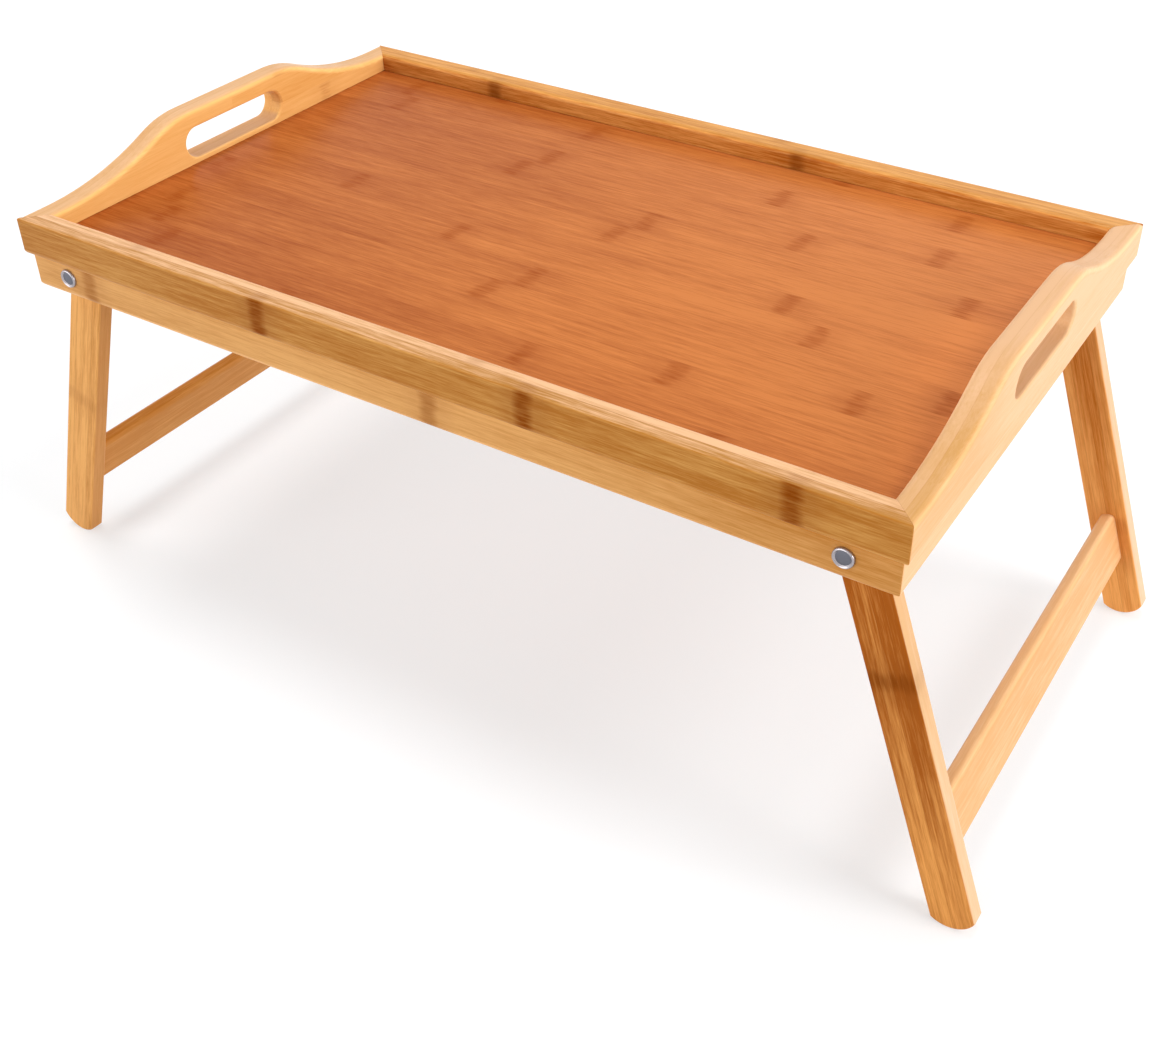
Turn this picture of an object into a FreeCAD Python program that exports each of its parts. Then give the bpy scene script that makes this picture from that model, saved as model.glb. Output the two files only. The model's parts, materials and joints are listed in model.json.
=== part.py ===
import FreeCAD, Part
import math
import os
from FreeCAD import Vector

# Bamboo bed tray table: a shallow tray with two grip boards, on two folding leg frames.
# Millimetres. X runs along the long side, -Y is the front, Z is up, the feet stand on z = 0,
# and the origin is on the floor under the middle of the tray.

# --- tray frame -------------------------------------------------------------
tray_length = 500.0         # over the outer faces of the grip boards
tray_width = 296.0          # over the outer faces of the long rails
rail_thick = 14.0
rail_height = 21.3
rail_round_in = 3.0         # top edge towards the tray floor
rail_round_out = 1.6        # top edge on the outside
rail_round_low = 4.0        # bottom edge on the outside
corner_round = 0.8          # upright outer edges at the mitres, of the rails and the aprons

# --- grip boards at the two ends ----------------------------------------------
crest_rise = 20.5           # crest above the rail tops
crest_half = 35.5           # half of the flat crest
shoulder_margin = 15.5      # tray corner to where the shoulder runs out, level with the rails
crest_radius = 63.0         # round at the end of the flat crest
crest_shift = 2.3           # crest off the middle: to the front on the right, to the back on the left
board_round = 3.2           # long top edges of the board
grip_length = 77.0
grip_height = 17.2
grip_above_rail = 1.5       # middle of the grip slot above the rail tops
grip_round = 1.6            # eased edges of the slot

# --- tray floor ----------------------------------------------------------------
floor_depth = 10.2          # floor below the rail tops
floor_thick = 4.0
groove_depth = 4.0
groove_gap = 0.3            # room for the panel to move in the depth of its groove
groove_fit = 0.1            # panel to groove, in height

# --- apron under the rails --------------------------------------------------------
apron_height = 19.5
apron_thick = 9.0
apron_inset = 3.0           # outer face set back from the rails
apron_round_low = 4.5       # bottom edge on the outside

# --- leg frames ----------------------------------------------------------------------
leg_width = 22.0
leg_thick = 9.5
leg_reach = 209.3           # pivot to the tip of the foot
leg_splay = 18.7            # degrees out from upright, when open
leg_edge = 1.2              # eased long edges
foot_radius = 14.0
pivot_rise = 12.1           # pivot above the bottom edge of the apron
stop_gap = 0.3              # open leg to the inner bottom edge of the end apron
stretcher_height = 29.5
stretcher_thick = 8.5
stretcher_along = 142.8     # pivot to the top edge of the stretcher, along the leg
stretcher_round_top = 3.2
stretcher_round_low = 2.0

# --- pivot rivets and washers -----------------------------------------------------------
shank_dia = 5.0
head_dia = 11.0
head_height = 1.6
head_rim = 0.6
tail_dia = 8.5
tail_height = 1.6
washer_dia = 12.5
spacer_thick = 2.1          # between apron and leg, so the leg clears the rail above
tail_washer_thick = 0.7     # under the clenched tail
side_play = 0.1             # leg to washer, each side
pivot_fit = 0.05            # shank to bore, on the radius, in apron, leg and washers

# --- dowels and splines inside the joints ------------------------------------------------
glue_gap = 0.05             # round a dowel or a spline
end_gap = 0.2               # past the end of a dowel or a spline
dowel_dia = 5.0
apron_dowel_up = 4.8        # reach into the rail above
apron_dowel_down = 8.0      # reach into the apron below
long_dowel_pitch = 150.0    # between the dowels of a long apron
end_dowel_half = 80.0       # dowels of an end apron, from the middle
frame_dowel_out = 6.0       # reach into the leg
frame_dowel_in = 12.0       # reach into the stretcher
frame_dowel_pitch = 15.0
spline_width = 5.0
rail_spline_thick = 2.0
apron_spline_thick = 1.5
rail_spline_margin = 3.0    # from the spline to the top and bottom edges
apron_spline_margin = 3.0
rail_spline_place = 8.5     # from the inner corner, along X and along Y

# --- worked out from the above -----------------------------------------------------------
splay = math.radians(leg_splay)
half_length = tray_length / 2
half_width = tray_width / 2
shoulder_half = half_width - shoulder_margin
inner_x = half_length - rail_thick
inner_y = half_width - rail_thick
apron_outer_x = half_length - apron_inset
apron_outer_y = half_width - apron_inset
apron_inner_x = apron_outer_x - apron_thick
apron_inner_y = apron_outer_y - apron_thick
pivot_z = (leg_reach - foot_radius) * math.cos(splay) + foot_radius
apron_bottom = pivot_z - pivot_rise
apron_top = apron_bottom + apron_height
rail_top = apron_top + rail_height
floor_top = rail_top - floor_depth
floor_bottom = floor_top - floor_thick
# An open leg leans on the inner bottom edge of the end apron, so that edge places the pivot.
pivot_x = apron_inner_x - (leg_width / 2 + stop_gap + pivot_rise * math.sin(splay)) / math.cos(splay)
leg_outer_y = apron_inner_y - spacer_thick - side_play
leg_inner_y = leg_outer_y - leg_thick

NODES = {}


def keep(name, *solids):
    """File one piece, or a group of like pieces, under its node's name."""
    NODES[name] = solids[0] if len(solids) == 1 else Part.makeCompound(list(solids))


def block(x0, x1, y0, y1, z0, z1):
    return Part.makeBox(x1 - x0, y1 - y0, z1 - z0, Vector(x0, y0, z0))


def rod(diameter, length, start, direction):
    return Part.makeCylinder(diameter / 2, length, start, direction)


def across_y(solid):
    return solid.mirror(Vector(0, 0, 0), Vector(0, 1, 0))


def across_x(solid):
    return solid.mirror(Vector(0, 0, 0), Vector(1, 0, 0))


def half_turn(solid):
    turned = solid.copy()
    turned.rotate(Vector(0, 0, 0), Vector(0, 0, 1), 180)
    return turned


def arc(centre, radius, start, end, place):
    """Arc about a centre in a plane, from one angle to another in degrees."""
    angles = [math.radians(a) for a in (start, (start + end) / 2, end)]
    points = [place(centre[0] + radius * math.cos(a), centre[1] + radius * math.sin(a)) for a in angles]
    return Part.Arc(*points).toShape()


def closed_face(edges):
    """Face inside a run of edges, with straight lines across the gaps between them."""
    run = []
    for edge, following in zip(edges, edges[1:] + edges[:1]):
        run.append(edge)
        end = edge.valueAt(edge.LastParameter)
        start = following.valueAt(following.FirstParameter)
        if end.distanceToPoint(start) > 1e-6:
            run.append(Part.makeLine(end, start))
    return Part.Face(Part.Wire(run))


def edges_where(solid, test):
    return [edge for edge in solid.Edges if all(test(v.Point) for v in edge.Vertexes)]


# --- rails and aprons ------------------------------------------------------------------
def front_bar(outer_y, thick, z0, z1, reach, low, top_in=0.0, top_out=0.0):
    """Bar along the front, square inside at the bottom and rounded on its other long edges."""
    def place(y, z):
        return Vector(-reach, y, z)
    y0 = outer_y
    y1 = outer_y + thick
    edges = [Part.makeLine(place(y0 + low, z0), place(y1, z0)),
             arc((y0 + low, z0 + low), low, 180, 270, place)]
    if top_out:
        edges.insert(1, arc((y1 - top_in, z1 - top_in), top_in, 0, 90, place))
        edges.insert(2, arc((y0 + top_out, z1 - top_out), top_out, 90, 180, place))
    else:
        edges.insert(1, Part.makeLine(place(y1, z1), place(y0, z1)))
    return closed_face(edges).extrude(Vector(2 * reach, 0, 0))


def mitre_front(outer_x, outer_y, thick):
    """Space in front of the two mitre planes, between the outer and the inner faces."""
    def place(x, y):
        return Vector(x, y, 0)
    corner_x = outer_x - corner_round
    corner_y = corner_round - outer_y
    inner = [place(outer_x - thick, thick - outer_y), place(thick - outer_x, thick - outer_y)]
    plan = closed_face([arc((corner_x, corner_y), corner_round, 270, 315, place), Part.makeLine(*inner),
                        arc((-corner_x, corner_y), corner_round, 225, 270, place)])
    return plan.extrude(Vector(0, 0, rail_top + 2 * crest_rise))


def mitre_side(outer_x, outer_y, thick):
    """The same at the right-hand end."""
    space = mitre_front(outer_y, outer_x, thick)
    space.rotate(Vector(0, 0, 0), Vector(0, 0, 1), 90)
    return space


def floor_slab(reach, thick):
    """Slab on the lower face of the grooves, reaching past the inner faces of the rails."""
    return block(-inner_x - reach, inner_x + reach, -inner_y - reach, inner_y + reach,
                 floor_bottom, floor_bottom + thick)


def floor_groove():
    return floor_slab(groove_depth, floor_thick + groove_fit)


def front_rail():
    bar = front_bar(-half_width, rail_thick, apron_top, rail_top, half_length,
                    rail_round_low, rail_round_in, rail_round_out)
    bar = bar.common(mitre_front(half_length, half_width, rail_thick))
    return bar.cut(floor_groove())


def board_outline():
    """Grip board seen from the end: level by the rails, with an S-shaped shoulder to the crest."""
    def place(y, z):
        return Vector(inner_x, y, z)

    def on_crest(y, z):
        return place(y - crest_shift, z)
    run = shoulder_half - crest_half
    turn = 2 * math.atan(crest_rise / run)
    hollow_radius = run / math.sin(turn) - crest_radius
    degrees = math.degrees(turn)
    crest = (crest_half, rail_top + crest_rise - crest_radius)
    hollow = (shoulder_half, rail_top + hollow_radius)
    ends = [Part.makeLine(place(-half_width, rail_top), place(-half_width, apron_top)),
            Part.makeLine(place(half_width, apron_top), place(half_width, rail_top))]
    top = [arc(hollow, hollow_radius, 270, 270 - degrees, on_crest),
           arc(crest, crest_radius, 90 - degrees, 90, on_crest),
           arc((-crest[0], crest[1]), crest_radius, 90, 90 + degrees, on_crest),
           arc((-hollow[0], hollow[1]), hollow_radius, 270 + degrees, 270, on_crest)]
    return closed_face(ends + top)


def grip_slot():
    """Stadium-shaped hole, right through the board."""
    def place(y, z):
        return Vector(inner_x - rail_thick, y, z)
    middle = rail_top + grip_above_rail
    radius = grip_height / 2
    reach = grip_length / 2 - radius
    edges = [arc((reach, middle), radius, -90, 90, place), arc((-reach, middle), radius, 90, 270, place)]
    return closed_face(edges).extrude(Vector(3 * rail_thick, 0, 0))


def right_board():
    board = board_outline().extrude(Vector(rail_thick, 0, 0))
    tiny = 0.01
    for x in (inner_x, half_length):
        top = edges_where(board, lambda p: abs(p.x - x) < tiny and p.z > rail_top - tiny)
        board = board.makeFillet(board_round, top)
    low = edges_where(board, lambda p: abs(p.x - half_length) < tiny and p.z < apron_top + tiny)
    board = board.makeFillet(rail_round_low, low)
    board = board.cut(grip_slot())
    low_z = rail_top + grip_above_rail - grip_height / 2 - tiny
    high_z = low_z + grip_height + 2 * tiny
    reach = grip_length / 2 + tiny
    rims = edges_where(board, lambda p: low_z < p.z < high_z and abs(p.y) < reach
                       and min(abs(p.x - inner_x), abs(p.x - half_length)) < tiny)
    board = board.makeFillet(grip_round, rims)
    board = board.common(mitre_side(half_length, half_width, rail_thick))
    return board.cut(floor_groove())


def pivot_bore(y0, y1):
    """Bore of the front right pivot, between two values of y."""
    return rod(shank_dia + 2 * pivot_fit, y1 - y0, Vector(pivot_x, y0, pivot_z), Vector(0, 1, 0))


def front_apron():
    bar = front_bar(-apron_outer_y, apron_thick, apron_bottom, apron_top, apron_outer_x, apron_round_low)
    bar = bar.common(mitre_front(apron_outer_x, apron_outer_y, apron_thick))
    bore = pivot_bore(-half_width, -apron_inner_y + 1)
    return bar.cut(bore).cut(across_x(bore))


def right_apron():
    bar = front_bar(-apron_outer_x, apron_thick, apron_bottom, apron_top, apron_outer_y, apron_round_low)
    bar.rotate(Vector(0, 0, 0), Vector(0, 0, 1), 90)
    return bar.common(mitre_side(apron_outer_x, apron_outer_y, apron_thick))


# --- hidden joinery of the tray ------------------------------------------------------------
def apron_dowel_places():
    for side in (-1, 1):
        for step in (-1, 0, 1):
            yield step * long_dowel_pitch, side * (apron_outer_y - apron_thick / 2)
        for end in (-1, 1):
            yield side * (apron_outer_x - apron_thick / 2), end * end_dowel_half


def apron_dowels(extra=0.0, deeper=0.0):
    low = apron_top - apron_dowel_down - deeper
    length = apron_dowel_up + apron_dowel_down + 2 * deeper
    return [rod(dowel_dia + 2 * extra, length, Vector(x, y, low), Vector(0, 0, 1))
            for x, y in apron_dowel_places()]


def corner_splines(x, y, thick, z0, z1, extra=0.0, deeper=0.0):
    """A feather across each of the four mitres, the right-hand back one at the given place."""
    width = spline_width + 2 * deeper
    deep = thick + 2 * extra
    feather = block(-width / 2, width / 2, -deep / 2, deep / 2, z0 - deeper, z1 + deeper)
    feathers = []
    for side_x in (-1, 1):
        for side_y in (-1, 1):
            piece = feather.copy()
            piece.rotate(Vector(0, 0, 0), Vector(0, 0, 1), -45 * side_x * side_y)
            piece.translate(Vector(side_x * x, side_y * y, 0))
            feathers.append(piece)
    return feathers


def rail_splines(extra=0.0, deeper=0.0):
    return corner_splines(inner_x + rail_spline_place, inner_y + rail_spline_place, rail_spline_thick,
                          apron_top + rail_spline_margin, rail_top - rail_spline_margin, extra, deeper)


def apron_splines(extra=0.0, deeper=0.0):
    return corner_splines(apron_outer_x - apron_thick / 2, apron_outer_y - apron_thick / 2, apron_spline_thick,
                          apron_bottom + apron_spline_margin, apron_top - apron_spline_margin, extra, deeper)


def build_tray():
    dowel_holes = apron_dowels(glue_gap, end_gap)
    rail_holes = dowel_holes + rail_splines(glue_gap, end_gap)
    apron_holes = dowel_holes + apron_splines(glue_gap, end_gap)
    rail = front_rail()
    board = right_board()
    long_apron = front_apron()
    end_apron = right_apron()
    keep("front_rail", rail.cut(rail_holes))
    keep("back_rail", across_y(rail).cut(rail_holes))
    keep("right_grip_board", board.cut(rail_holes))
    keep("left_grip_board", half_turn(board).cut(rail_holes))
    keep("floor_panel", floor_slab(groove_depth - groove_gap, floor_thick))
    keep("front_apron", long_apron.cut(apron_holes))
    keep("back_apron", across_y(long_apron).cut(apron_holes))
    keep("right_end_apron", end_apron.cut(apron_holes))
    keep("left_end_apron", across_x(end_apron).cut(apron_holes))
    keep("rail_corner_splines", *rail_splines())
    keep("apron_corner_splines", *apron_splines())
    keep("apron_dowels", *apron_dowels())


# --- leg frames -----------------------------------------------------------------------------
def open_right(solid):
    """From a leg hanging straight down at the origin to the open leg at its pivot."""
    solid.rotate(Vector(0, 0, 0), Vector(0, 1, 0), -leg_splay)
    solid.translate(Vector(pivot_x, 0, pivot_z))
    return solid


def leg_outline():
    """Round about the pivot at the top, with a shallow rounded foot."""
    def place(x, z):
        return Vector(x, -leg_outer_y, z)
    half = leg_width / 2
    foot_z = foot_radius - leg_reach
    lean = math.degrees(math.asin(half / foot_radius))
    edges = [arc((0, 0), half, 0, 180, place), arc((0, foot_z), foot_radius, 270 - lean, 270 + lean, place)]
    return closed_face(edges)


def frame_dowels(side, extra=0.0, deeper=0.0):
    """The two dowels at the front or the back end of a stretcher."""
    middle_z = -stretcher_along - stretcher_height / 2
    length = frame_dowel_out + frame_dowel_in + 2 * deeper
    start_y = side * (leg_inner_y + frame_dowel_out + deeper)
    return [open_right(rod(dowel_dia + 2 * extra, length,
                           Vector(0, start_y, middle_z + half * frame_dowel_pitch / 2), Vector(0, -side, 0)))
            for half in (-1, 1)]


def right_front_leg():
    leg = leg_outline().extrude(Vector(0, leg_thick, 0))
    rims = [edge for edge in leg.Edges if edge.BoundBox.YLength < 0.01]
    leg = open_right(leg.makeFillet(leg_edge, rims))
    bore = pivot_bore(-leg_outer_y - 1, -leg_inner_y + 1)
    return leg.cut([bore] + frame_dowels(-1, glue_gap, end_gap))


def right_stretcher():
    def place(x, z):
        return Vector(x, -leg_inner_y, z)
    half = stretcher_thick / 2
    z1 = -stretcher_along
    z0 = z1 - stretcher_height
    top = stretcher_round_top
    low = stretcher_round_low
    edges = [arc((half - low, z0 + low), low, 270, 360, place), arc((half - top, z1 - top), top, 0, 90, place),
             arc((top - half, z1 - top), top, 90, 180, place), arc((low - half, z0 + low), low, 180, 270, place)]
    bar = open_right(closed_face(edges).extrude(Vector(0, 2 * leg_inner_y, 0)))
    return bar.cut(frame_dowels(-1, glue_gap, end_gap) + frame_dowels(1, glue_gap, end_gap))


def build_leg_frames():
    leg = right_front_leg()
    stretcher = right_stretcher()
    dowels = frame_dowels(-1) + frame_dowels(1)
    keep("right_front_leg", leg)
    keep("right_back_leg", across_y(leg))
    keep("right_stretcher", stretcher)
    keep("right_stretcher_dowels", *dowels)
    keep("left_front_leg", across_x(leg))
    keep("left_back_leg", across_x(across_y(leg)))
    keep("left_stretcher", across_x(stretcher))
    keep("left_stretcher_dowels", *[across_x(dowel) for dowel in dowels])


# --- pivots ------------------------------------------------------------------------------------
def washer(y0, thick):
    ring = rod(washer_dia, thick, Vector(pivot_x, y0, pivot_z), Vector(0, 1, 0))
    return ring.cut(pivot_bore(y0 - 1, y0 + thick + 1))


def pivot_rivet():
    """Domed head outside the front apron, shank through apron and leg, clenched tail inside."""
    def place(radius, y):
        return Vector(pivot_x + radius, y, pivot_z)
    head_y = apron_inset - half_width
    tail_y = side_play + tail_washer_thick - leg_inner_y
    shank = shank_dia / 2
    dome_rise = head_height - head_rim
    dome_radius = (head_dia ** 2 / 4 + dome_rise ** 2) / (2 * dome_rise)
    dome_lean = math.degrees(math.asin(head_dia / 2 / dome_radius))
    tail_radius = (tail_dia ** 2 / 4 + tail_height ** 2) / (2 * tail_height)
    tail_lean = math.degrees(math.asin(tail_dia / 2 / tail_radius))
    dome = arc((0, head_y - head_height + dome_radius), dome_radius, 270, 270 + dome_lean, place)
    tail = arc((0, tail_y + tail_height - tail_radius), tail_radius, 90 - tail_lean, 90, place)
    side = [Part.makeLine(place(head_dia / 2, head_y), place(shank, head_y)),
            Part.makeLine(place(shank, tail_y), place(tail_dia / 2, tail_y))]
    section = closed_face([dome, side[0], side[1], tail])
    return section.revolve(Vector(pivot_x, 0, pivot_z), Vector(0, 1, 0), 360)


def build_pivots():
    rivet = pivot_rivet()
    spacer = washer(-apron_inner_y, spacer_thick)
    tail_washer = washer(side_play - leg_inner_y, tail_washer_thick)
    keep("front_right_rivet", rivet)
    keep("front_left_rivet", across_x(rivet))
    keep("back_right_rivet", across_y(rivet))
    keep("back_left_rivet", across_x(across_y(rivet)))
    for name, ring in (("spacer_washers", spacer), ("tail_washers", tail_washer)):
        keep(name, ring, across_x(ring), across_y(ring), across_x(across_y(ring)))


build_tray()
build_leg_frames()
build_pivots()

os.makedirs("parts", exist_ok=True)
for name, shape in NODES.items():
    shape.exportStep("parts/" + name + ".step")
    print(name, len(shape.Solids), "solids", round(shape.Volume / 1000, 2), "cm3", shape.isValid())
box = Part.makeCompound(list(NODES.values())).optimalBoundingBox()
print("overall", round(box.XLength, 1), round(box.YLength, 1), round(box.ZLength, 1), "bottom", round(box.ZMin, 3))
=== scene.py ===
import json
import math

import bpy
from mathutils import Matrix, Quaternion, Vector


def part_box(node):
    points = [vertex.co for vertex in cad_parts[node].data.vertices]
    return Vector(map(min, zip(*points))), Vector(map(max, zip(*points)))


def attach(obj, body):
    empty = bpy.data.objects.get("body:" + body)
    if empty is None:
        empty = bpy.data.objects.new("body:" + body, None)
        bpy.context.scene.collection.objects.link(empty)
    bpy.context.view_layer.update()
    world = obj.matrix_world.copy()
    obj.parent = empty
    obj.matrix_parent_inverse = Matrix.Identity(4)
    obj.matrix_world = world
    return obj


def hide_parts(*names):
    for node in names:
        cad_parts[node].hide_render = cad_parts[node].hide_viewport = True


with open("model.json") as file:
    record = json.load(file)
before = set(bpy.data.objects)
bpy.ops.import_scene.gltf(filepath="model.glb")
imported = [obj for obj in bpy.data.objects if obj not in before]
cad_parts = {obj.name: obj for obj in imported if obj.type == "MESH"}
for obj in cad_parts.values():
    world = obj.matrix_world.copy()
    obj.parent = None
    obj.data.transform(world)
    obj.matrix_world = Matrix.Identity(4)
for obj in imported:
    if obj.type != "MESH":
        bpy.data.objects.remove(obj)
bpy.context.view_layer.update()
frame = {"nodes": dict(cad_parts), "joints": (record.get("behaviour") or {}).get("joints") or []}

# Bamboo bed tray table on two folding leg frames. Metres in the frame's own axes: X along the tray,
# -Y the front, Z up, the feet on z = 0. Patterns are laid out in millimetres.
MM = 0.001
RAIL_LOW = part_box("front_rail")[0]
BOARD_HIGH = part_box("right_grip_board")[1]
FLOOR_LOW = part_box("floor_panel")[0]
APRON_LOW, APRON_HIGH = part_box("front_apron")
END_APRON_LOW, END_APRON_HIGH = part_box("right_end_apron")
HALF_LENGTH = BOARD_HIGH.x
HALF_WIDTH = -RAIL_LOW.y
PIVOT = {joint["child"]: Vector(joint["pos_m"]) for joint in frame["joints"]}
SPLAY = math.radians(18.7)          # the open legs lean out by this much


# --- colours and nodes --------------------------------------------------------------------------
def linear(code):
    """An sRGB hex colour as linear RGBA."""
    parts = [int(code[i:i + 2], 16) / 255 for i in (1, 3, 5)]
    return [c / 12.92 if c <= 0.04045 else ((c + 0.055) / 1.055) ** 2.4 for c in parts] + [1.0]


def add(tree, kind, sockets, **settings):
    """Add a node with its settings, give its sockets their values or links, and return its output."""
    node = tree.nodes.new("ShaderNode" + kind)
    for name, value in settings.items():
        setattr(node, name, value)
    for name, value in sockets.items():
        if isinstance(value, bpy.types.NodeSocket):
            tree.links.new(value, node.inputs[name])
        else:
            node.inputs[name].default_value = value
    return next((output for output in node.outputs if output.enabled), None)


def new_material(name):
    material = bpy.data.materials.new(name)
    material.use_nodes = True
    material.node_tree.nodes.clear()
    return material, material.node_tree


# --- bamboo -------------------------------------------------------------------------------------
SPAN = 640.0                        # every growth ring lies within this length, in millimetres
RINGS = 3                           # most growth rings on one strip
NOWHERE = 5.0                       # place of a ring that a strip doesn't have, in spans
RING_CORE = (1.0, 9.0)              # a ring's scar fades out between these distances from it
RING_HALO = (4.0, 20.0)             # and the tint round it between these
HALO = 0.25                         # strength of the tint
JOINT_WIDTH = 0.35                  # half a glue line, drawn wider than the real one so that it shows
FACES = (0.6, 0.9)                  # a face looks along an axis from the second cosine on
# Noises: sizes along and across the fibres, in millimetres, and how much they deepen the wood. Real
# fibres are about 0.3 mm across. They are drawn at 0.8 mm, as coarse as they need to be to show.
BANDS, BANDS_DEPTH = (70.0, 2.2), 1.7
FIBRES, FIBRES_DEPTH = (17.0, 0.8), 2.4
CLOUDS, CLOUDS_DEPTH = (60.0, 14.0), 0.8
RING_WANDER, RING_FRAY, RING_PATCH = (60.0, 6.0), (60.0, 1.6), (14.0, 1.2)
NOISE_LOW, NOISE_HIGH = 0.3, 0.7    # most of a noise lies between these
OWN_SHIFT = (300.0, 60.0, 60.0)     # a strip's fibres are shifted by up to this much
RING_ON_TOP = 0.3                   # share of a ring's strength on the faces that facing names
RELIEF, RELIEF_SHARE = 0.05, 0.4    # height of the fibres, and how much of it the lacquer shows
RING_DIP = -0.2                     # a ring lies lower by this share of it
LACQUER_IOR = 1.5
LACQUER_SATIN, LACQUER_DULL = 0.30, 0.38                    # its roughness over the fibres
RING_SHEEN = 0.2                    # share of the sheen that a ring keeps
MITRE_WIDTH = 0.1                   # half the glue line of a mitre
MITRE_STRENGTH = 0.5
ALONG_TRAY = (0.0, 0.0, 0.0)        # turns that lay the fibres, the pattern's X, along the piece
ACROSS_TRAY = (0.0, 0.0, math.pi / 2)


def pattern_point(tree, place, turn):
    """Millimetres counted from place, with X along the fibres."""
    coordinate = add(tree, "TexCoord", {}).node.outputs["Object"]
    return add(tree, "Mapping", {"Vector": coordinate, "Location": place, "Rotation": turn,
                                 "Scale": (MM, MM, MM)}, vector_type="TEXTURE")


def stretched(tree, point, along, across, seed, detail=2.0, rough=0.55):
    """Noise drawn out along the fibres, with its two sizes in millimetres."""
    scaled = add(tree, "VectorMath", {0: point, 1: (1 / along, 1 / across, 1 / across)},
                 operation="MULTIPLY")
    return add(tree, "TexNoise", {"Vector": scaled, "W": seed, "Scale": 1.0, "Detail": detail,
                                  "Roughness": rough}, noise_dimensions="4D")


def strip_of(tree, point, cut, rows, seed):
    """The strip at a point: its row's four numbers, the point shifted by chance so that each strip
    has its own fibres, and the distance to the joint beside it."""
    axes = add(tree, "SeparateXYZ", {0: point}).node.outputs
    column = add(tree, "Math", {0: axes[1], 1: cut[0]}, operation="DIVIDE")
    column_no = add(tree, "Math", {0: column}, operation="FLOOR")
    layer = add(tree, "Math", {0: axes[2], 1: cut[1]}, operation="DIVIDE")
    layer_no = add(tree, "Math", {0: layer}, operation="FLOOR")
    number = add(tree, "Math", {0: layer_no, 1: float(cut[2]), 2: column_no}, operation="MULTIPLY_ADD")
    middle = add(tree, "Math", {0: number, 1: 0.5}, operation="ADD")
    cell = add(tree, "Math", {0: middle, 1: float(len(rows))}, operation="DIVIDE")
    table = add(tree, "ValToRGB", {"Fac": cell})
    elements = table.node.color_ramp.elements
    table.node.color_ramp.interpolation = "CONSTANT"
    for index, (shade, *rings) in enumerate(rows):
        spots = [0.5 + ring / SPAN for ring in rings] + [NOWHERE] * (RINGS - len(rings))
        element = elements[index] if index < 2 else elements.new(index / len(rows))
        element.position = index / len(rows)
        element.color = spots + [shade]
    lone = add(tree, "CombineXYZ", {0: column_no, 1: layer_no, 2: seed})
    chance = add(tree, "TexWhiteNoise", {"Vector": lone}).node.outputs["Color"]
    own = add(tree, "VectorMath", {0: chance, 1: OWN_SHIFT, 2: point}, operation="MULTIPLY_ADD")
    inside = add(tree, "Math", {0: column, 1: 0.5}, operation="PINGPONG")
    gap = add(tree, "Math", {0: inside, 1: cut[0]}, operation="MULTIPLY")
    return table, own, gap


def ring_distance(tree, point, own, table, ragged, seed):
    """Millimetres to the nearest growth ring of the strip. The ring wanders a little, and its edges
    are frayed along the fibres."""
    wander = stretched(tree, own, *RING_WANDER, seed + 13.0, detail=4.0, rough=0.65)
    fray = stretched(tree, own, *RING_FRAY, seed + 11.0, detail=3.0, rough=0.6)
    wander = add(tree, "Math", {0: wander, 1: 0.5}, operation="SUBTRACT")
    fray = add(tree, "Math", {0: fray, 1: 0.5}, operation="SUBTRACT")
    along = add(tree, "Math", {0: wander, 1: 2 * ragged, 2: add(tree, "SeparateXYZ", {0: point})},
                operation="MULTIPLY_ADD")
    spots = add(tree, "SeparateColor", {"Color": table}).node.outputs
    nearest = 1000.0
    for spot in spots:
        ring = add(tree, "Math", {0: spot, 1: 0.5}, operation="SUBTRACT")
        gap = add(tree, "Math", {0: ring, 1: -SPAN, 2: along}, operation="MULTIPLY_ADD")
        far = add(tree, "Math", {0: gap}, operation="ABSOLUTE")
        nearest = add(tree, "Math", {0: far, 1: nearest}, operation="MINIMUM")
    return add(tree, "Math", {0: fray, 1: 2 * ragged, 2: nearest}, operation="MULTIPLY_ADD")


def growth_marks(tree, nearest, own, patchy, ring, seed):
    """A ring's scar, broken into streaks, with a fainter tint round it. Also returns the scar whole."""
    core = add(tree, "MapRange", {"Value": nearest, "From Min": RING_CORE[0], "From Max": RING_CORE[1],
                                  "To Min": 1.0, "To Max": 0.0}, interpolation_type="SMOOTHSTEP")
    halo = add(tree, "MapRange", {"Value": nearest, "From Min": RING_HALO[0], "From Max": RING_HALO[1],
                                  "To Min": HALO, "To Max": 0.0}, interpolation_type="SMOOTHSTEP")
    streaks = stretched(tree, own, *RING_PATCH, seed + 17.0)
    patch = add(tree, "MapRange", {"Value": streaks, "From Min": NOISE_LOW, "From Max": NOISE_HIGH,
                                   "To Min": 1.0 - patchy, "To Max": 1.0}, interpolation_type="SMOOTHSTEP")
    scar = add(tree, "Math", {0: core, 1: patch}, operation="MULTIPLY")
    both = add(tree, "Math", {0: scar, 1: halo}, operation="MAXIMUM")
    return core, add(tree, "Math", {0: both, 1: ring}, operation="MULTIPLY")


def wood_depth(tree, point, own, fibres, shade, drift, streak, seed):
    """How deep the wood's tone is: the strip's shade, the drift along the fibres, and the noises."""
    bands = stretched(tree, own, *BANDS, seed)
    clouds = stretched(tree, own, *CLOUDS, seed + 7.0, detail=1.0)
    along = add(tree, "SeparateXYZ", {0: point})
    depth = add(tree, "MapRange", {"Value": along, "From Min": drift[0], "From Max": drift[1],
                                   "To Min": 0.0, "To Max": drift[2]}, interpolation_type="SMOOTHSTEP")
    depth = add(tree, "Math", {0: depth, 1: shade}, operation="ADD")
    for noise, amount in ((bands, BANDS_DEPTH), (fibres, FIBRES_DEPTH), (clouds, CLOUDS_DEPTH)):
        middle = add(tree, "Math", {0: noise, 1: 0.5}, operation="SUBTRACT")
        depth = add(tree, "Math", {0: middle, 1: amount * streak, 2: depth}, operation="MULTIPLY_ADD")
    return add(tree, "Clamp", {0: depth})


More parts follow.
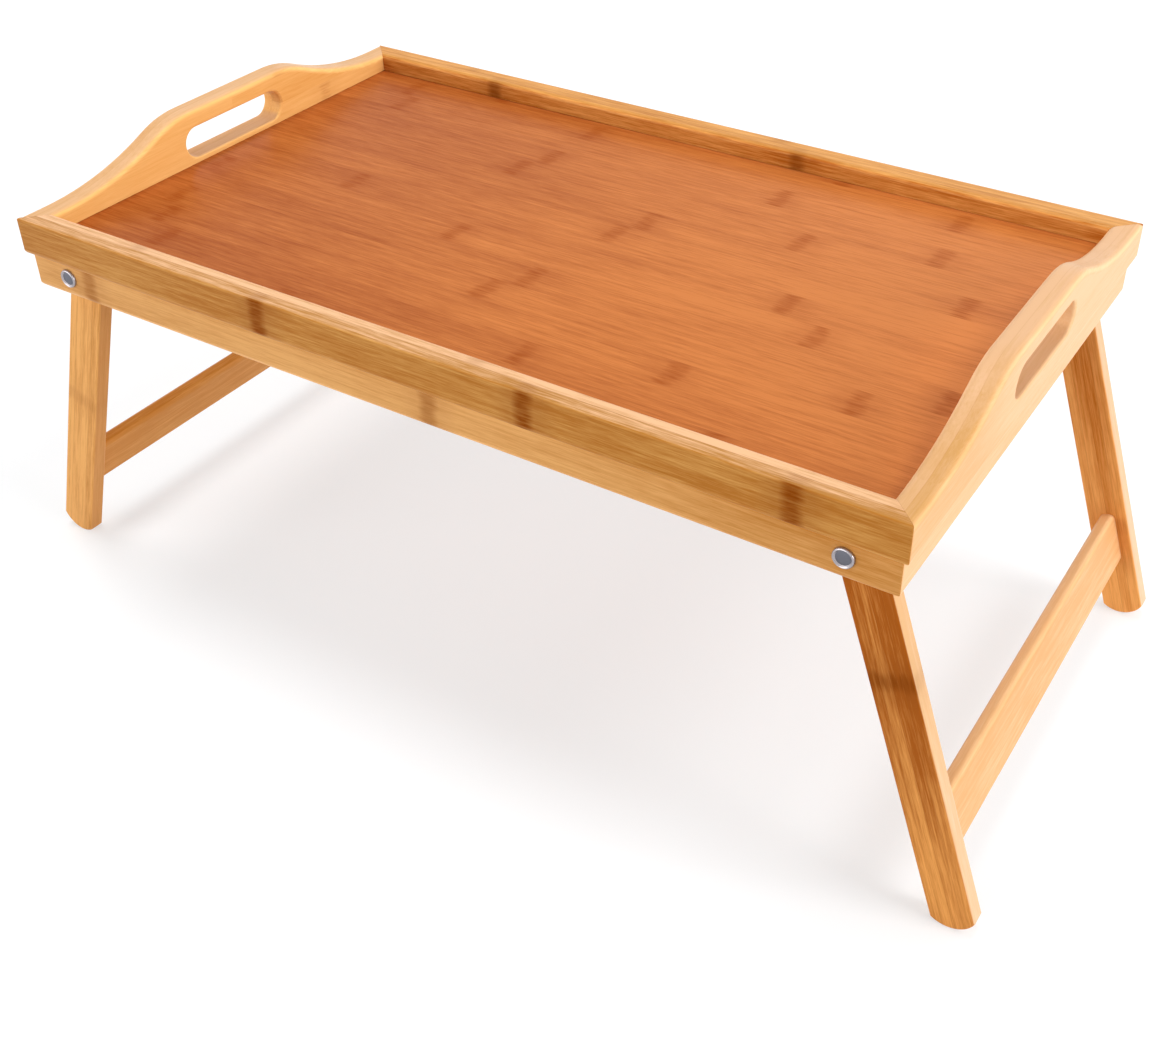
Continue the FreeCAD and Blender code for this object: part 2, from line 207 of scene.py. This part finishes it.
def faces_along(tree, axis):
    """1 on the faces that look along an axis, 0 on the others."""
    normal = add(tree, "TexCoord", {}).node.outputs["Normal"]
    look = add(tree, "Math", {0: add(tree, "SeparateXYZ", {0: normal}).node.outputs[axis]},
               operation="ABSOLUTE")
    return add(tree, "MapRange", {"Value": look, "From Min": FACES[0], "From Max": FACES[1],
                                  "To Min": 0.0, "To Max": 1.0}, interpolation_type="SMOOTHSTEP")


def lacquered(tree, colour, core, mark, fibres, sheen):
    """Satin lacquer over the colour: the fibres show in its relief, and the scars take its shine."""
    height = add(tree, "Math", {0: core, 1: RING_DIP, 2: fibres}, operation="MULTIPLY_ADD")
    relief = add(tree, "Bump", {"Height": height, "Strength": RELIEF_SHARE, "Distance": RELIEF * MM})
    gloss = add(tree, "MapRange", {"Value": fibres, "From Min": NOISE_LOW, "From Max": NOISE_HIGH,
                                   "To Min": LACQUER_SATIN, "To Max": LACQUER_DULL},
                interpolation_type="SMOOTHSTEP")
    shine = add(tree, "MapRange", {"Value": mark, "From Min": 0.0, "From Max": 1.0, "To Min": sheen,
                                   "To Max": RING_SHEEN * sheen}, interpolation_type="SMOOTHSTEP")
    return add(tree, "BsdfPrincipled", {"Base Color": colour, "Roughness": gloss, "Normal": relief,
                                        "IOR": LACQUER_IOR, "Specular IOR Level": shine})


def bamboo(name, place, turn, cut, rows, tones, seed, drift=(-1.0, 1.0, 0.0), ring=1.0, ragged=5.0,
           patchy=0.6, joint=0.2, streak=1.0, sheen=0.1, facing=None, mitred=False):
    """Carbonised bamboo under satin lacquer: flat strips pressed side by side, long fibres, and the
    brown scars of the growth rings. The lacquer gives a soft, slightly milky sheen.

    cut is a strip's width and thickness and the number of columns. rows holds each strip's shade
    and growth rings. tones are the pale wood, the deep wood and the ring. drift deepens the wood
    from one place along the fibres to another. ring is the rings' strength, ragged how far they
    fray in millimetres and patchy how broken they are. joint, streak and sheen are the strengths of
    the glue lines, the fibres and the lacquer's shine. facing is an axis and the tones of the faces
    that look along it. mitred draws the glue lines of the tray's corners."""
    material, tree = new_material(name)
    point = pattern_point(tree, place, turn)
    table, own, gap = strip_of(tree, point, cut, rows, seed)
    fibres = stretched(tree, own, *FIBRES, seed + 3.0, detail=3.0, rough=0.7)
    depth = wood_depth(tree, point, own, fibres, table.node.outputs["Alpha"], drift, streak, seed)
    nearest = ring_distance(tree, point, own, table, ragged, seed)
    core, mark = growth_marks(tree, nearest, own, patchy, ring, seed)

    pale, deep, scar = (linear(tone) for tone in tones)
    wood = add(tree, "Mix", {"Factor": depth, "A": pale, "B": deep}, data_type="RGBA")
    if facing:
        side = faces_along(tree, facing[0])
        top = add(tree, "Mix", {"Factor": depth, "A": linear(facing[1]), "B": linear(facing[2])},
                  data_type="RGBA")
        wood = add(tree, "Mix", {"Factor": side, "A": wood, "B": top}, data_type="RGBA")
        kept = add(tree, "MapRange", {"Value": side, "From Min": 0.0, "From Max": 1.0, "To Min": 1.0,
                                      "To Max": RING_ON_TOP}, interpolation_type="SMOOTHSTEP")
        mark = add(tree, "Math", {0: mark, 1: kept}, operation="MULTIPLY")
    line = add(tree, "MapRange", {"Value": gap, "From Min": 0.0, "From Max": JOINT_WIDTH,
                                  "To Min": joint, "To Max": 0.0}, interpolation_type="SMOOTHSTEP")
    colour = wood
    for factor in [mark, line] + ([mitre_line(tree)] if mitred else []):
        colour = add(tree, "Mix", {"Factor": factor, "A": colour, "B": scar}, data_type="RGBA")
    add(tree, "OutputMaterial", {"Surface": lacquered(tree, colour, core, mark, fibres, sheen)})
    return material


def mitre_line(tree):
    """Thin glue line in the four mitre planes of the tray's corners."""
    place = add(tree, "TexCoord", {}).node.outputs["Object"]
    size = add(tree, "VectorMath", {0: place}, operation="ABSOLUTE")
    axes = add(tree, "SeparateXYZ", {0: size}).node.outputs
    off = add(tree, "Math", {0: axes[0], 1: axes[1]}, operation="SUBTRACT")
    far = add(tree, "Math", {0: off, 1: HALF_LENGTH - HALF_WIDTH, 2: MITRE_WIDTH * MM}, operation="COMPARE")
    return add(tree, "Math", {0: far, 1: MITRE_STRENGTH}, operation="MULTIPLY")


def dress(node, material):
    """Give a CAD node its finish."""
    slots = frame["nodes"][node].data.materials
    slots.clear()
    slots.append(material)


# --- the tray's wood ----------------------------------------------------------------------------
# Each strip of the floor panel from the front to the back: its shade, then its growth rings.
FLOOR_STRIPS = [(0.76, -90, 150), (0.81, -185, 42), (0.72, -203, 109), (0.66, -215, -8, 190),
                (0.72, 4, 225), (0.62, -225, -58, 150), (0.72, -143, 125), (0.63, 14, -240),
                (0.72, 22, 200), (0.68, -76, 102), (0.74, -68, 170), (0.66, 69, -190),
                (0.74, -200, -65, 164), (0.82, 90, -140)]
FLOOR_STRIP = 20.6                  # width of a floor strip
FLOOR_FIRST = -139.4                # front edge of the first strip
LAYER = 7.0                         # the rails and the boards are pressed from two layers
APRON_LAYER = 4.5
WHOLE = 60.0                        # more than a piece is high or thick: one strip takes it all
CLEAR = 1.0                         # a pattern starts this far outside its piece
BOARD_STRIP = 22.0                  # a board is two strips high
FLOOR_TONES = ("#CC7A3C", "#9A4A16", "#923E0C")
RAIL_TONES = ("#D29C52", "#AE6E22", "#7E3A00")
# The rails' top faces. Their pale cream is partly a painted highlight of the rounded inner edge and partly
# the paler inner layer.
RAIL_TOP_AND_HIGHLIGHT = (2, "#EAB98C", "#B67E3C")
BACK_RAIL_TOP = (2, "#E0A258", "#BC7A34")
BACK_RAIL_TONES = ("#EEAA5C", "#BC6A1C", "#7A3C06")
APRON_TONES = ("#E4AC68", "#BA7C34", "#8C4E18")
# These tones are paler than the left board's: partly painted sheen of the light from the right, partly tone.
# The end aprons use them too.
PALE_BOARD_TONES_AND_SHEEN = ("#EFC494", "#E4AE74", "#B87638")
LEFT_BOARD_TONES = ("#F6C47C", "#E2A252", "#B87030")
BOARD_TOP = (2, "#DEB084", "#CE9A5C")


def dress_floor():
    place = (0.0, FLOOR_FIRST * MM, FLOOR_LOW.z - CLEAR * MM)
    cut = (FLOOR_STRIP, WHOLE, len(FLOOR_STRIPS))
    # The drift makes the floor paler towards the right end: partly painted sheen of the lacquer there,
    # partly the wood's own tone.
    dress("floor_panel", bamboo("carbonised_bamboo_floor", place, ALONG_TRAY, cut, FLOOR_STRIPS, FLOOR_TONES,
                                4.0, drift=(-230.0, 180.0, -0.56), ring=0.62, joint=0.05, streak=0.6,
                                sheen=0.08))


def dress_rails():
    """Two layers, one strip high. The outer layer comes first."""
    cut = (LAYER, WHOLE, 2)
    low = RAIL_LOW.z - CLEAR * MM
    # The inner layer's pale shade is partly a painted highlight along the top's inner rounding.
    dress("front_rail", bamboo("bamboo_front_rail", (0.0, -HALF_WIDTH, low), ALONG_TRAY, cut,
                               [(0.66, -84, 70, 199), (0.12, 38, -170)], RAIL_TONES, 11.0,
                               ragged=2.5, patchy=0.4, facing=RAIL_TOP_AND_HIGHLIGHT, mitred=True))
    dress("back_rail", bamboo("bamboo_back_rail", (0.0, HALF_WIDTH - 2 * LAYER * MM, low), ALONG_TRAY, cut,
                              [(0.5, -148, 60), (0.4, -170, 45)],
                              BACK_RAIL_TONES, 12.0, ring=0.8, ragged=2.5, patchy=0.3,
                              facing=BACK_RAIL_TOP, mitred=True))


def dress_boards():
    """Two layers, two strips high."""
    cut = (LAYER, BOARD_STRIP, 2)
    for name, x, rows, tones, seed, drift in (
            ("right", HALF_LENGTH, [(0.8,), (0.4, -70, 110), (0.8,), (0.4, 100)], PALE_BOARD_TONES_AND_SHEEN, 13.0,
             (-90.0, -20.0, -0.7)),
            ("left", 2 * LAYER * MM - HALF_LENGTH, [(0.3, 78), (0.5, -100), (0.3, 40), (0.5, -60, 120)],
             LEFT_BOARD_TONES, 14.0, (-1.0, 1.0, 0.0))):
        dress(name + "_grip_board", bamboo(f"bamboo_{name}_board", (x, 0.0, RAIL_LOW.z), ACROSS_TRAY, cut,
                                           rows, tones, seed, drift=drift, ring=0.5, streak=0.5,
                                           facing=BOARD_TOP, mitred=True))


def dress_aprons():
    cut = (APRON_LAYER, WHOLE, 2)
    low = APRON_LOW.z - CLEAR * MM
    for name, y, rows, seed in (("front", APRON_LOW.y, [(0.2, -207, 14), (0.3, 120)], 15.0),
                                ("back", -APRON_HIGH.y, [(0.4, -60, 190), (0.3, 60)], 16.0)):
        # The drift deepens the aprons towards the right end, so the left end is paler: partly painted sheen,
        # partly tone.
        dress(name + "_apron", bamboo(f"bamboo_{name}_apron", (0.0, y, low), ALONG_TRAY, cut, rows,
                                      APRON_TONES, seed, drift=(40.0, 220.0, 0.5), ring=0.7, ragged=2.5,
                                      patchy=0.3, streak=0.7, mitred=True))
    for name, x, seed in (("right", END_APRON_HIGH.x, 17.0), ("left", -END_APRON_LOW.x, 18.0)):
        dress(name + "_end_apron", bamboo(f"bamboo_{name}_end_apron", (x, 0.0, low), ACROSS_TRAY, cut,
                                          [(0.2,), (0.3, 30)], PALE_BOARD_TONES_AND_SHEEN, seed, streak=0.6,
                                          mitred=True))


# --- the leg frames' wood -----------------------------------------------------------------------
LEG_BAND = 5.5                      # a leg is pressed from four bands on edge
# The right legs' side faces are paler: partly painted sheen of the light from the right, partly tone.
LEG_SIDES_AND_SHEEN = {"right": (0, "#F4D2AE", "#E8BA86"), "left": (0, "#E4A866", "#CC8C48")}
LEFT_LEG_TONES = ("#E2A660", "#A4600F", "#7C3C08")
# Each leg's tones, the shades of its bands, the place and strength of its growth ring, and how much
# paler it gets towards the foot. Its deeper top is partly painted shade under the tray, partly tone.
LEGS = {
    "right_front_leg": (("#E09C52", "#9C5210", "#763806"), (0.9, 0.75, 1.0, 0.95), 70, 0.8, -0.6),
    "right_back_leg": (("#F0AA60", "#BC6818", "#7C3C08"), (0.4, 0.6, 0.8, 0.5), 150, 0.2, -0.4),
    "left_front_leg": (LEFT_LEG_TONES, (0.1, 0.2, 0.15, 0.3), 97, 0.25, -0.1),
    "left_back_leg": (LEFT_LEG_TONES, (0.3, 0.5, 0.4, 0.5), 120, 0.4, -0.2)}


def dress_legs():
    for seed, (node, (tones, shades, ring_at, ring, paler)) in enumerate(LEGS.items()):
        name = node.split("_")[0]
        side = 1 if name == "right" else -1
        across = Vector((math.cos(SPLAY), 0.0, side * math.sin(SPLAY)))
        place = PIVOT[name + "_leg_frame"] - across * 2 * LEG_BAND * MM
        place.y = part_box(node)[1].y + CLEAR * MM
        dress(node, bamboo("bamboo_" + node, place, (math.pi / 2, math.pi / 2 - side * SPLAY, 0.0),
                           (LEG_BAND, WHOLE, 4), [(shade, ring_at) for shade in shades], tones, 20.0 + seed,
                           drift=(60.0, 200.0, paler), ring=ring, ragged=3.0, patchy=0.4, streak=0.6,
                           sheen=0.05, facing=LEG_SIDES_AND_SHEEN[name]))


# The right stretcher's tones are paler than the left one's: partly painted sheen of the light from the
# right, partly tone.
STRETCHER_TONES_AND_SHEEN = {"right": ("#FAD4A4", "#EEBC84", "#A86428"), "left": ("#D89C56", "#B8742C", "#7C3C08")}
STRETCHER_SIDES_AND_SHEEN = {"right": (0, "#EEC294", "#DCA26A"), "left": (0, "#E2A862", "#CA8840")}
STRETCHER_FOOT = 172.3              # pivot to the low edge of the stretcher, along the leg
STRETCHER_STRIP = 14.75             # two strips, one above the other


def dress_stretchers():
    for name, side in (("right", 1), ("left", -1)):
        down = Vector((side * math.sin(SPLAY), 0.0, -math.cos(SPLAY)))
        across = Vector((math.cos(SPLAY), 0.0, side * math.sin(SPLAY)))
        place = PIVOT[name + "_leg_frame"] + down * STRETCHER_FOOT * MM + across * WHOLE / 2 * MM
        place.y = 0.0
        turn = (-side * SPLAY, 0.0, math.pi / 2)
        cut = (WHOLE, STRETCHER_STRIP, 1)
        dress(name + "_stretcher", bamboo(f"bamboo_{name}_stretcher", place, turn, cut, [(0.75,), (0.9,)],
                                          STRETCHER_TONES_AND_SHEEN[name], 30.0 + side, streak=0.7,
                                          facing=STRETCHER_SIDES_AND_SHEEN[name]))


# --- joinery ------------------------------------------------------------------------------------
FLECK = (3.0, 0.7)                  # a beech fleck's length and width
# Scuffs on plated steel. Real ones are a third as wide, and these are drawn coarser to show.
SCUFF = (1.5, 0.5)
SCUFF_ROUGHNESS = 0.15              # what the scuffs add to the roughness


def beech():
    """Turned beech dowels and sawn splines: pale pinkish wood with short dark flecks, left bare."""
    material, tree = new_material("beech_dowel")
    fleck = stretched(tree, pattern_point(tree, (0.0, 0.0, 0.0), ALONG_TRAY), *FLECK, 41.0)
    bare = add(tree, "MapRange", {"Value": fleck, "From Min": 0.4, "From Max": 0.65, "To Min": 0.0,
                                  "To Max": 1.0}, interpolation_type="SMOOTHSTEP")
    colour = add(tree, "Mix", {"Factor": bare, "A": linear("#C79B6C"), "B": linear("#E0BE94")},
                 data_type="RGBA")
    shader = add(tree, "BsdfPrincipled", {"Base Color": colour, "Roughness": 0.6, "IOR": 1.5})
    add(tree, "OutputMaterial", {"Surface": shader})
    return material


def plated(name, code, roughness, seed):
    """Plated steel: fine random scuffs break up the shine."""
    material, tree = new_material(name)
    scuff = stretched(tree, pattern_point(tree, (0.0, 0.0, 0.0), ALONG_TRAY), *SCUFF, seed, detail=4.0)
    rough = add(tree, "MapRange", {"Value": scuff, "From Min": 0.35, "From Max": 0.7,
                                   "To Min": roughness, "To Max": roughness + SCUFF_ROUGHNESS},
                interpolation_type="SMOOTHSTEP")
    shader = add(tree, "BsdfPrincipled", {"Base Color": linear(code), "Metallic": 1.0, "Roughness": rough})
    add(tree, "OutputMaterial", {"Surface": shader})
    return material


def dress_joinery():
    wood = beech()
    zinc = plated("zinc_plated_washer", "#A6A8AA", 0.35, 52.0)
    for node in frame["nodes"]:
        if "dowel" in node or "spline" in node:
            dress(node, wood)
        elif "washer" in node:
            dress(node, zinc)


SPIN_STEPS = 48                     # facets round a rivet
HEAD_TALL = 1.6                     # the rolled rim, the head's highest part
DISH = 3.55                         # radius of the head's darker middle, whose darker steel is a painted dark reflection
# Half outlines of a rivet's head and clenched tail: radius, then height above the wood they bear on.
HEAD = [(0.0, 1.3), (2.6, 1.1), (3.5, 0.9), (3.8, 1.15), (4.1, 1.5), (4.35, 1.6), (4.65, 1.5), (4.95, 1.1),
        (5.1, 0.6), (5.1, 0.0), (2.5, 0.0)]
TAIL = [(2.5, 0.0), (4.25, 0.0), (3.9, 0.6), (3.0, 1.15), (1.6, 1.5), (0.0, 1.6)]


def turned(name, centre, outline):
    """A piece turned about the line through centre along Y. outline is radius and y, in metres."""
    bpy.ops.object.select_all(action="DESELECT")
    bpy.ops.mesh.primitive_plane_add(size=MM)
    piece = bpy.context.object
    piece.name = name
    bpy.ops.object.mode_set(mode="EDIT")
    bpy.ops.mesh.merge(type="CENTER")
    bpy.ops.transform.translate(value=(centre.x + outline[0][0], outline[0][1], centre.z))
    for near, far in zip(outline, outline[1:]):
        step = (far[0] - near[0], far[1] - near[1], 0.0)
        bpy.ops.mesh.extrude_region_move(TRANSFORM_OT_translate={"value": step})
    bpy.ops.mesh.select_all(action="SELECT")
    bpy.ops.mesh.spin(steps=SPIN_STEPS, angle=2 * math.pi, center=centre, axis=(0.0, 1.0, 0.0))
    bpy.ops.mesh.select_all(action="SELECT")
    bpy.ops.mesh.remove_doubles(threshold=0.001 * MM)
    bpy.ops.mesh.normals_make_consistent(inside=False)
    bpy.ops.object.mode_set(mode="OBJECT")
    bpy.ops.object.shade_smooth_by_angle(angle=math.radians(40))
    return piece


def rivets():
    """Four rivets: a rolled bright rim round a dished middle of darker steel, which is a painted dark
    reflection, and a rounded tail inside.
    """
    low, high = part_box("front_right_rivet")
    centre = (low + high) / 2
    face = low.y + HEAD_TALL * MM
    seat = high.y - TAIL[-1][1] * MM
    outline = [(radius * MM, face - tall * MM) for radius, tall in HEAD]
    outline += [(radius * MM, seat + tall * MM) for radius, tall in TAIL]
    first = turned("front_right_rivet_piece", centre, outline)
    first.data.materials.append(plated("nickel_plated_rim", "#A8A2A6", 0.26, 51.0))
    # The middle's darker steel is a painted dark reflection.
    first.data.materials.append(plated("dark_reflection_steel_middle", "#6A6A72", 0.32, 53.0))
    for polygon in first.data.polygons:
        off = math.hypot(polygon.center.x - centre.x, polygon.center.z - centre.z)
        polygon.material_index = 1 if polygon.center.y < face and off < DISH * MM else 0
    pieces = {"front_right_rivet": first}
    for node, shift, turn in (("front_left_rivet", -2 * centre.x, 0.0), ("back_left_rivet", 0.0, math.pi),
                              ("back_right_rivet", 2 * centre.x, math.pi)):
        piece = first.copy()
        piece.data = first.data.copy()
        piece.name = node + "_piece"
        bpy.context.scene.collection.objects.link(piece)
        bpy.ops.object.select_all(action="DESELECT")
        piece.select_set(True)
        bpy.context.view_layer.objects.active = piece
        piece.rotation_euler.z = turn
        piece.location.x = shift
        bpy.ops.object.transform_apply()
        pieces[node] = piece
    for node, piece in pieces.items():
        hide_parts(node)
        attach(piece, "tray")


# --- studio -------------------------------------------------------------------------------------
AMBIENT = 0.28                      # light of the surroundings on the object
PAPER_LIFT = 0.57                   # share of the floor's white that shadows leave alone
PAPER_SIZE = 16.0
# Each light's direction from the tray, its strength and its spread in degrees.
SUNS = {"right_softbox": ((0.95, 0.08, 0.15), 2.3, 40), "front_softbox": ((-0.45, -0.85, 0.14), 2.25, 60),
        "left_softbox": ((-0.95, 0.10, 0.20), 0.45, 60), "top_left_softbox": ((-0.15, 0.10, 0.98), 1.15, 22),
        "top_right_softbox": ((0.60, 0.08, 0.80), 0.95, 22), "back_softbox": ((0.10, 0.85, 0.50), 0.4, 60)}


def seen_directly(tree):
    """1 for the camera and for what shows in a shiny surface, 0 for light that falls on the object."""
    rays = add(tree, "LightPath", {}).node.outputs
    shown = add(tree, "Math", {0: rays["Is Camera Ray"], 1: rays["Is Glossy Ray"]}, operation="MAXIMUM")
    return add(tree, "Math", {0: shown, 1: rays["Is Transmission Ray"]}, operation="MAXIMUM")


def surroundings():
    world = bpy.data.worlds.new("white_studio")
    bpy.context.scene.world = world
    world.use_nodes = True
    world.cycles.sampling_method = "NONE"
    tree = world.node_tree
    tree.nodes.clear()
    strength = add(tree, "MapRange", {"Value": seen_directly(tree), "To Min": AMBIENT, "To Max": 1.0})
    background = add(tree, "Background", {"Color": (1.0, 1.0, 1.0, 1.0), "Strength": strength})
    add(tree, "OutputWorld", {"Surface": background})


def paper_floor():
    """White paper sweep. Seen directly it is lifted to white and keeps the soft shadow; it doesn't
    show from below, so that the underside of the tray can be looked at."""
    bpy.ops.object.select_all(action="DESELECT")
    bpy.ops.mesh.primitive_plane_add(size=PAPER_SIZE)
    floor = bpy.context.object
    floor.name = "paper_floor"
    material, tree = new_material("white_paper")
    paper = add(tree, "BsdfDiffuse", {"Color": linear("#F0F0F0")})
    shaded = add(tree, "BsdfDiffuse", {"Color": linear("#B1B4B6")})
    glow = add(tree, "Emission", {"Color": (1.0, 1.0, 1.0, 1.0), "Strength": PAPER_LIFT})
    lifted = add(tree, "AddShader", {0: shaded, 1: glow})
    front = add(tree, "MixShader", {"Fac": seen_directly(tree), 1: paper, 2: lifted})
    clear = add(tree, "BsdfTransparent", {})
    below = add(tree, "NewGeometry", {}).node.outputs["Backfacing"]
    both = add(tree, "MixShader", {"Fac": below, 1: front, 2: clear})
    add(tree, "OutputMaterial", {"Surface": both})
    floor.data.materials.append(material)


def soft_sun(name, towards, strength, spread):
    """Far soft light. towards is the way from the tray to the light."""
    data = bpy.data.lights.new(name, "SUN")
    data.energy = strength
    data.angle = math.radians(spread)
    lamp = bpy.data.objects.new(name, data)
    lamp.rotation_euler = Vector(towards).to_track_quat("Z", "Y").to_euler()
    bpy.context.scene.collection.objects.link(lamp)


def camera():
    """The photograph's viewpoint, fitted to the edges of the tray."""
    azimuth, elevation, roll = math.radians(32.26424), math.radians(35.46070), math.radians(-0.47826)
    back = Vector((math.sin(azimuth) * math.cos(elevation), -math.cos(azimuth) * math.cos(elevation),
                   math.sin(elevation)))
    data = bpy.data.cameras.new("viewpoint")
    data.lens = 46.8048
    data.sensor_width = 36.0
    data.shift_x = -0.0284216
    data.shift_y = -0.0517861
    viewpoint = bpy.data.objects.new("viewpoint", data)
    viewpoint.location = (0.397218, -0.589546, 0.578911)
    viewpoint.rotation_mode = "QUATERNION"
    viewpoint.rotation_quaternion = (-back).to_track_quat("-Z", "Y") @ Quaternion((0, 0, 1), roll)
    bpy.context.scene.collection.objects.link(viewpoint)
    bpy.context.scene.camera = viewpoint


dress_floor()
dress_rails()
dress_boards()
dress_aprons()
dress_legs()
dress_stretchers()
dress_joinery()
rivets()
surroundings()
paper_floor()
for sun, (way, energy, angle) in SUNS.items():
    soft_sun(sun, way, energy, angle)
camera()
bpy.context.scene.view_settings.view_transform = "Standard"
